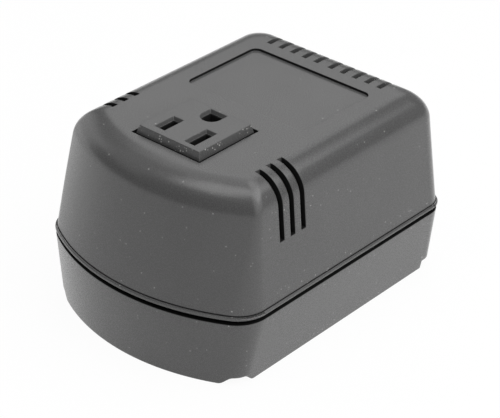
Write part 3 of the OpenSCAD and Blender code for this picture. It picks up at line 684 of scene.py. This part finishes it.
def make_tray(casing, shade):
    """Lower shell: the loft, its screw posts, and the holes in its floor and back wall."""
    tray = new_piece("tray_shell", tray_mesh(), casing, shade)
    places = [(x, y) for x in (-POST_X, POST_X) for y in (POST_FRONT, POST_BACK)]
    work = bmesh.new()
    for x, y in places:
        upright(work, disc(x, y, POST_R), FLOOR_TOP - TOOL_OVER, COVER_LOW)
    combine(tray, mesh_from(work, "posts"), "UNION")
    work = bmesh.new()
    for x, y in places:
        upright(work, disc(x, y, SCREW_HEAD_HOLE_R), -TOOL_OVER, SCREW_SEAT)
    for x in FLOOR_SLOTS:
        upright(work, rectangle(x, FLOOR_SLOT_Y, SLOT_W, FLOOR_SLOT_L), 0, FLOOR_TOP + TOOL_OVER)
    combine(tray, mesh_from(work, "floor_holes"), "DIFFERENCE")
    work = bmesh.new()
    for x, y in places:
        upright(work, disc(x, y, SCREW_HOLE_R), SCREW_SEAT - TOOL_OVER, COVER_LOW + TOOL_OVER)
    combine(tray, mesh_from(work, "screw_holes"), "DIFFERENCE")
    for radius, start in ((GLAND_HOLE_R, GLAND_SEAT_Y - GLAND_HOLE_L), (GLAND_SEAT_R, GLAND_SEAT_Y)):
        work = bmesh.new()
        upright(work, disc(0, 0, radius), start, RIM_END + TOOL_OVER)
        bmesh.ops.rotate(work, verts=work.verts, matrix=Matrix.Rotation(-math.pi / 2, 3, "X"))
        bmesh.ops.translate(work, verts=work.verts, vec=(0, 0, GLAND_Z))
        combine(tray, mesh_from(work, "gland_hole"), "DIFFERENCE")
    soften(tray)
    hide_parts("base_tray")


# Outlet

def blade_outline(x, length, step):
    """Mouth of one blade slot, widened all round by a step."""
    return rectangle(x, BLADE_Y, BLADE_SLOT_W + 2 * step, length + 2 * step)


def earth_outline(step):
    """Mouth of the earth hole: round towards the blades, flat away from them."""
    r = EARTH_R + step
    flat = EARTH_Y + EARTH_FLAT + step
    return arc((0, EARTH_Y), r, math.pi, 2 * math.pi, EARTH_STEPS) + [(r, flat), (-r, flat)]


def mouths(step):
    """Mouths of the two blade slots and the earth hole, widened all round by a step."""
    short = blade_outline(-BLADE_X, SHORT_SLOT_L, step)
    long = blade_outline(BLADE_X, LONG_SLOT_L, step)
    return [short, long, earth_outline(step)]


def outlet_mesh():
    """Flange and leaning plinth as one loft, with painted shade on the flange's top and where the plinth
    dips into its opening.
    """
    flange_w, flange_l = PLINTH_W + 2 * FLANGE_LIP, PLINTH_L + 2 * FLANGE_LIP
    crown_w, crown_l = PLINTH_W - 2 * PLINTH_LEAN, PLINTH_L - 2 * PLINTH_LEAN
    neck_z = CASE_TOP - NECK_DEPTH
    neck_in = 2 * PLINTH_LEAN * (neck_z - COVER_TOP_INSIDE) / (OUTLET_TOP - COVER_TOP_INSIDE)
    levels = [
        (flange_w, flange_l, FLANGE_LOW), (flange_w, flange_l, COVER_TOP_INSIDE),
        (PLINTH_W, PLINTH_L, COVER_TOP_INSIDE), (PLINTH_W - neck_in, PLINTH_L - neck_in, neck_z),
        (crown_w, crown_l, OUTLET_TOP)]
    work = bmesh.new()
    rings = [ring_of(work, rectangle(0, OUTLET_Y, w, l), z) for w, l, z in levels]
    for row, (low, high) in enumerate(zip(rings, rings[1:])):
        bridge(work, low, high, 1 if row in PAINTED_SHADE_ROWS else 0)
    work.faces.new(list(reversed(rings[0])))
    work.faces.new(rings[-1])
    return mesh_from(work, "outlet_plinth")


def make_outlet(grey, shade):
    """Raised plinth with two blade slots and an earth hole, each with a leaning mouth."""
    outlet = new_piece("outlet_plinth", outlet_mesh(), grey, shade)
    work = bmesh.new()
    low = OUTLET_TOP - LEAD_IN_DEPTH
    high = OUTLET_TOP + LEAD_IN_DEPTH * LEAD_IN_OVER
    over = LEAD_IN + (LEAD_IN - LEAD_IN_FOOT) * LEAD_IN_OVER
    # The lead-ins' floors take painted shade
    for outline, foot in zip(mouths(over), mouths(LEAD_IN_FOOT)):
        upright(work, outline, low, high, floor_material=1, foot=foot)
    combine(outlet, mesh_from(work, "lead_ins"), "DIFFERENCE")
    work = bmesh.new()
    # The slots' walls take painted shade
    for outline in mouths(0):
        upright(work, outline, FLANGE_LOW - TOOL_OVER, OUTLET_TOP + TOOL_OVER, material=1)
    combine(outlet, mesh_from(work, "slots"), "DIFFERENCE")
    soften(outlet)
    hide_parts("outlet_face")


# Shader building

def feed(tree, socket, value):
    """Links an output socket to an input, or sets the input to a plain value."""
    if isinstance(value, bpy.types.NodeSocket):
        tree.links.new(value, socket)
    else:
        socket.default_value = value


def place(tree, kind, inputs=None, **settings):
    """A shader node with its settings and inputs."""
    made = tree.nodes.new("ShaderNode" + kind)
    for name, value in settings.items():
        setattr(made, name, value)
    for name, value in (inputs or {}).items():
        feed(tree, made.inputs[name], value)
    return made


def calculate(tree, operation, *values):
    """Number socket of a calculation."""
    return place(tree, "Math", dict(enumerate(values)), operation=operation).outputs[0]


def remap(tree, value, start, end, low, high):
    """Number socket of a value that is carried from one range to another and kept inside it."""
    return place(tree, "MapRange", {
        "Value": value, "From Min": start, "From Max": end, "To Min": low, "To Max": high}).outputs[0]


def noise(tree, where, scale, detail, roughness):
    """Number socket of a soft noise."""
    return place(tree, "TexNoise", {
        "Vector": where, "Scale": scale, "Detail": detail, "Roughness": roughness}).outputs["Fac"]


def blend_colours(tree, share, first, second, kind="MIX"):
    """Colour socket of two colours blended."""
    made = place(tree, "Mix", data_type="RGBA", blend_type=kind)
    for at, value in zip(MIX_INPUTS, (share, first, second)):
        feed(tree, made.inputs[at], value)
    return made.outputs[MIX_COLOUR]


def own_place(tree):
    """Vector socket of the place on the piece."""
    return place(tree, "TexCoord").outputs["Object"]


def per_millimetre(tree, size):
    """Texture scale for features of a size in millimetres."""
    return calculate(tree, "DIVIDE", 1 / MM, size)


def new_group(name, inputs, outputs):
    """An empty shader node group with named sockets, and its two end nodes."""
    group = bpy.data.node_groups.new(name, "ShaderNodeTree")
    for label, value in inputs.items():
        kind = "NodeSocketColor" if isinstance(value, tuple) else "NodeSocketFloat"
        socket = group.interface.new_socket(name=label, in_out="INPUT", socket_type=kind)
        socket.default_value = value
    for label, kind in outputs.items():
        group.interface.new_socket(name=label, in_out="OUTPUT", socket_type="NodeSocket" + kind)
    return group, group.nodes.new("NodeGroupInput").outputs, group.nodes.new("NodeGroupOutput").inputs


def use_group(tree, group, inputs):
    """Outputs of a node group placed in a material with its own values."""
    return place(tree, "Group", inputs, node_tree=group).outputs


def grain_group():
    """Grain of a mould: a fine bump, an uneven sheen and a faint broad mottle."""
    group, given, out = new_group(
        "Mould grain",
        {"Colour": (0.2, 0.2, 0.2, 1), "Size": 0.3, "Mottle": 0.06, "Sheen Low": 0.4, "Sheen High": 0.6},
        {"Colour": "Color", "Roughness": "Float", "Height": "Float"})
    where = own_place(group)
    fine = noise(group, where, per_millimetre(group, given["Size"]), GRAIN_DETAIL, GRAIN_ROUGHNESS)
    broad = noise(group, where, MOTTLE_SCALE, MOTTLE_DETAIL, MOTTLE_ROUGHNESS)
    swing = remap(group, broad, *MOTTLE_RANGE, -1.0, 1.0)
    grains = remap(group, fine, *GRAIN_RANGE, -1.0, 1.0)
    both = calculate(group, "ADD", swing, grains)
    spread = calculate(group, "MULTIPLY_ADD", both, given["Mottle"], 1.0)
    tinted = blend_colours(group, 1.0, given["Colour"], spread, "MULTIPLY")
    sheen = remap(group, fine, *SHEEN_RANGE, given["Sheen Low"], given["Sheen High"])
    group.links.new(tinted, out["Colour"])
    group.links.new(sheen, out["Roughness"])
    group.links.new(fine, out["Height"])
    return group


def specks_group():
    """Tiny pale specks of dust and moulding flaws, scattered here and there."""
    group, given, out = new_group(
        "Pale specks",
        {"Colour": (0.2, 0.2, 0.2, 1), "Speck": (0.6, 0.6, 0.6, 1),
         "Spacing": 2.0, "Share": 0.3, "Width": 0.1},
        {"Colour": "Color"})
    scale = per_millimetre(group, given["Spacing"])
    cells = place(group, "TexVoronoi", {"Vector": own_place(group), "Scale": scale, "Randomness": 1.0})
    chance = place(group, "SeparateColor", {0: cells.outputs["Color"]}).outputs[0]
    chosen = calculate(group, "LESS_THAN", chance, given["Share"])
    edge = remap(group, cells.outputs["Distance"], 0.0, given["Width"], 1.0, 0.0)
    spot = calculate(group, "MULTIPLY", chosen, edge)
    specked = blend_colours(group, spot, given["Colour"], given["Speck"])
    group.links.new(specked, out["Colour"])
    return group


def layers_group():
    """Thin layers side by side, such as sheets in a stack or turns of wire, with dark lines between."""
    group, given, out = new_group(
        "Thin layers",
        {"Place": 0.0, "Pitch": 0.5, "Colour": (0.3, 0.3, 0.3, 1), "Joint": (0.05, 0.05, 0.05, 1)},
        {"Colour": "Color", "Height": "Float"})
    count = calculate(group, "MULTIPLY", given["Place"], per_millimetre(group, given["Pitch"]))
    centred = calculate(group, "SUBTRACT", calculate(group, "FRACT", count), LAYER_EDGE)
    off = calculate(group, "ABSOLUTE", centred)
    crown = remap(group, off, LAYER_EDGE, LAYER_CROWN, 0.0, 1.0)
    which = calculate(group, "FLOOR", count)
    shade = place(group, "TexWhiteNoise", {"W": which}, noise_dimensions="1D").outputs["Value"]
    tone = remap(group, shade, 0.0, 1.0, LAYER_DARKEST, 1.0)
    tinted = blend_colours(group, 1.0, given["Colour"], tone, "MULTIPLY")
    lined = blend_colours(group, crown, given["Joint"], tinted)
    group.links.new(lined, out["Colour"])
    group.links.new(crown, out["Height"])
    return group


def handled_group():
    """Bare metal that has been handled: dull patches, fine rubbing marks and an uneven polish."""
    group, given, out = new_group(
        "Handled metal",
        {"Colour": (0.7, 0.7, 0.7, 1), "Dull": (0.5, 0.5, 0.5, 1), "Patch": 3.0, "Polish": 0.3},
        {"Colour": "Color", "Roughness": "Float", "Height": "Float"})
    where = own_place(group)
    patches = noise(group, where, per_millimetre(group, given["Patch"]), PATCH_DETAIL, PATCH_ROUGHNESS)
    stretched = place(group, "Mapping", {"Vector": where, "Scale": MARKS_SCALE}).outputs[0]
    marks = noise(group, stretched, 1.0, MARKS_DETAIL, MARKS_ROUGHNESS)
    dull = remap(group, patches, *PATCH_RANGE, 0.0, 1.0)
    tinted = blend_colours(group, dull, given["Colour"], given["Dull"])
    worn = calculate(group, "MULTIPLY_ADD", dull, DULL_ROUGHNESS, given["Polish"])
    group.links.new(tinted, out["Colour"])
    group.links.new(worn, out["Roughness"])
    group.links.new(marks, out["Height"])
    return group


def new_material(name):
    """A material with a Principled shader, and its node tree."""
    material = bpy.data.materials.new(name)
    material.use_nodes = True
    tree = material.node_tree
    tree.nodes.clear()
    shader = place(tree, "BsdfPrincipled")
    out = place(tree, "OutputMaterial")
    tree.links.new(shader.outputs[0], out.inputs["Surface"])
    return material, tree, shader


def surface(tree, shader, colour, roughness, height, depth):
    """Colour, roughness and a relief of a depth in millimetres on a shader."""
    relief = place(tree, "Bump", {"Height": height, "Distance": depth * MM, "Strength": 1.0})
    tree.links.new(colour, shader.inputs["Base Color"])
    tree.links.new(roughness, shader.inputs["Roughness"])
    tree.links.new(relief.outputs[0], shader.inputs["Normal"])


def more_on_sides(tree, level, steep):
    """Share of specks that is low on level faces and higher on steep ones."""
    normal = place(tree, "NewGeometry").outputs["Normal"]
    up = place(tree, "SeparateXYZ", {0: normal}).outputs["Z"]
    return remap(tree, calculate(tree, "ABSOLUTE", up), STEEP_UP, LEVEL_UP, steep, level)


def moulded(name, colour, size=0.3, mottle=0.05, depth=0.015, sheen=(0.42, 0.58), gloss=0.5,
            specks=None, level_share=None, haze=0.0):
    """Moulded plastic or rubber with its mould's grain, and pale specks where it is dusty."""
    material, tree, shader = new_material(name)
    shader.inputs["Specular IOR Level"].default_value = gloss
    shader.inputs["Sheen Weight"].default_value = haze
    shader.inputs["Sheen Roughness"].default_value = HAZE_ROUGHNESS
    texture = use_group(tree, GROUPS["grain"], {
        "Colour": (*colour, 1), "Size": size, "Mottle": mottle,
        "Sheen Low": sheen[0], "Sheen High": sheen[1]})
    tint = texture["Colour"]
    if specks:
        share = more_on_sides(tree, level_share, specks["Share"])
        tint = use_group(tree, GROUPS["specks"], {**specks, "Colour": tint, "Share": share})["Colour"]
    surface(tree, shader, tint, texture["Roughness"], texture["Height"], depth)
    return material


def bare_metal(name, colour, dull, polish=0.3, patch=3.0, depth=0.004):
    """Plated or plain metal with dull patches and rubbing marks."""
    material, tree, shader = new_material(name)
    shader.inputs["Metallic"].default_value = 1.0
    texture = use_group(tree, GROUPS["handled"], {
        "Colour": (*colour, 1), "Dull": (*dull, 1), "Patch": patch, "Polish": polish})
    surface(tree, shader, texture["Colour"], texture["Roughness"], texture["Height"], depth)
    return material


def layered(name, axis, pitch, colour, joint, metallic, polish, depth):
    """A stack of sheets or a row of turns, lined across one axis."""
    material, tree, shader = new_material(name)
    shader.inputs["Metallic"].default_value = metallic
    where = place(tree, "SeparateXYZ", {0: own_place(tree)})
    lines = use_group(tree, GROUPS["layers"], {
        "Place": where.outputs[axis], "Pitch": pitch, "Colour": (*colour, 1), "Joint": (*joint, 1)})
    texture = use_group(tree, GROUPS["handled"], {
        "Colour": lines["Colour"], "Dull": (*joint, 1), "Patch": LAYER_PATCH, "Polish": polish})
    soft = blend_colours(tree, LAYER_DULL_SHARE, lines["Colour"], texture["Colour"])
    surface(tree, shader, soft, texture["Roughness"], lines["Height"], depth)
    return material


def make_finishes():
    """Every finish of the object, by name."""
    return {
        "casing": moulded(
            "casing grey", CASING_GREY, sheen=CASING_SHEEN, gloss=CASING_GLOSS,
            specks=CASING_SPECKS, level_share=CASING_LEVEL_SHARE, haze=CASING_HAZE),
        # Near-black painted shade for slot walls, inner skins, the crease, the seam's ledge and lip, recess
        # walls and the plinth's neck
        "shade": moulded("painted shade", PAINTED_SHADE_GREY, mottle=0.02, sheen=(0.8, 0.9), gloss=0.1),
        "outlet": moulded(
            "outlet grey", OUTLET_GREY, size=0.22, sheen=CASING_SHEEN, gloss=CASING_GLOSS,
            specks=OUTLET_SPECKS, level_share=OUTLET_LEVEL_SHARE),
        "nylon": moulded(
            "natural nylon", colour=(0.72, 0.68, 0.58), size=0.5, mottle=0.03, sheen=(0.35, 0.5)),
        "rubber": moulded(
            "gland rubber", colour=(0.018, 0.018, 0.019), size=0.2, depth=0.02, sheen=(0.55, 0.75)),
        "phenolic": moulded(
            "cut-out black", colour=(0.02, 0.018, 0.017), size=0.4, sheen=(0.3, 0.42)),
        "tape": moulded(
            "polyester tape", colour=(0.78, 0.55, 0.08), size=1.6, mottle=0.08, sheen=(0.22, 0.34)),
        "brass": bare_metal(
            "stamped brass", colour=(0.74, 0.50, 0.19), dull=(0.45, 0.29, 0.12), polish=0.26),
        "zinc": bare_metal(
            "zinc plating", colour=(0.62, 0.63, 0.65), dull=(0.50, 0.49, 0.44), polish=0.24, patch=1.5),
        "tin": bare_metal(
            "tinned tag", colour=(0.66, 0.66, 0.64), dull=(0.48, 0.48, 0.46), polish=0.32, patch=1.0),
        "iron": layered(
            "varnished laminations", axis="Z", pitch=0.5, colour=(0.16, 0.165, 0.18),
            joint=(0.03, 0.028, 0.026), metallic=0.7, polish=0.4, depth=0.05),
        "copper": layered(
            "enamelled turns", axis="Y", pitch=0.45, colour=(0.55, 0.20, 0.07),
            joint=(0.16, 0.05, 0.02), metallic=0.8, polish=0.22, depth=0.12),
        "black lead": moulded("black insulation", colour=(0.02, 0.019, 0.019), **LEAD_LOOK),
        "white lead": moulded("white insulation", colour=(0.70, 0.70, 0.68), mottle=0.03, **LEAD_LOOK),
        "green lead": moulded("green insulation", colour=(0.03, 0.26, 0.06), **LEAD_LOOK),
        "red lead": moulded("red insulation", colour=(0.50, 0.02, 0.015), **LEAD_LOOK),
    }


def dress_node(name, material):
    """Finish and small edge radii on a piece that keeps its own shape."""
    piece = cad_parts[name]
    for slot in piece.material_slots:
        slot.material = material
    weld = piece.modifiers.new("weld", "WELD")
    weld.merge_threshold = WELD_REACH * MM
    merge = piece.modifiers.new("merge flats", "DECIMATE")
    merge.decimate_type = "DISSOLVE"
    merge.angle_limit = math.radians(FLAT_ANGLE)
    if name not in UNROUNDED:
        soft_edges(piece, NODE_EDGE, NODE_EDGE_ANGLE)


# Stage

def make_floor():
    """Pale floor that keeps the object's soft shadow and looks white to the camera."""
    work = bmesh.new()
    bmesh.ops.create_grid(work, x_segments=1, y_segments=1, size=FLOOR_HALF)
    mesh = bpy.data.meshes.new("floor")
    work.to_mesh(mesh)
    work.free()
    floor = new_object("floor", mesh)
    material, tree, shader = new_material("pale floor")
    shader.inputs["Base Color"].default_value = (*FLOOR_COLOUR, 1)
    shader.inputs["Roughness"].default_value = FLOOR_ROUGHNESS
    path = place(tree, "LightPath")
    glow = place(tree, "Emission", {"Color": WHITE, "Strength": 1.0})
    seen = path.outputs["Is Camera Ray"]
    for ray in ("Is Glossy Ray", "Is Transmission Ray"):
        seen = calculate(tree, "MAXIMUM", seen, path.outputs[ray])
    share = calculate(tree, "MULTIPLY", seen, FLOOR_GLOW)
    mix = place(tree, "MixShader", {0: share, 1: shader.outputs[0], 2: glow.outputs[0]})
    tree.links.new(mix.outputs[0], tree.nodes["Material Output"].inputs["Surface"])
    mesh.materials.append(material)


def make_world():
    """Even pale light from all round."""
    world = bpy.data.worlds.new("studio")
    bpy.context.scene.world = world
    world.use_nodes = True
    tree = world.node_tree
    tree.nodes.clear()
    light = place(tree, "Background", {"Color": WHITE, "Strength": WORLD_LIGHT})
    out = place(tree, "OutputWorld")
    tree.links.new(light.outputs[0], out.inputs["Surface"])


def make_lamp(name, azimuth, elevation, size, power):
    """Soft box that faces the object. Azimuth 0 is straight in front, and 90 is on its right."""
    data = bpy.data.lights.new(name, "AREA")
    data.shape = "SQUARE"
    data.size = size
    data.energy = power
    lamp = new_object(name, data)
    turn, rise = math.radians(azimuth), math.radians(elevation)
    across = math.cos(rise)
    way = Vector((across * math.sin(turn), -across * math.cos(turn), math.sin(rise)))
    lamp.location = Vector(LAMP_AIM) * MM + way * LAMP_DISTANCE
    lamp.rotation_mode = "QUATERNION"
    lamp.rotation_quaternion = (-way).to_track_quat("-Z", "Y")
    lamp.visible_camera = False


GROUPS = {
    "grain": grain_group(), "specks": specks_group(),
    "layers": layers_group(), "handled": handled_group()}
make_camera()
make_floor()
make_world()
for lamp_name, lamp in LAMPS.items():
    make_lamp(lamp_name, **lamp)
finishes = make_finishes()
make_cover(finishes["casing"], finishes["shade"])
make_tray(finishes["casing"], finishes["shade"])
make_outlet(finishes["outlet"], finishes["shade"])
for finish, node_names in FINISHED_NODES.items():
    for node_name in node_names:
        dress_node(node_name, finishes[finish])

bpy.context.scene.view_settings.view_transform = "Standard"
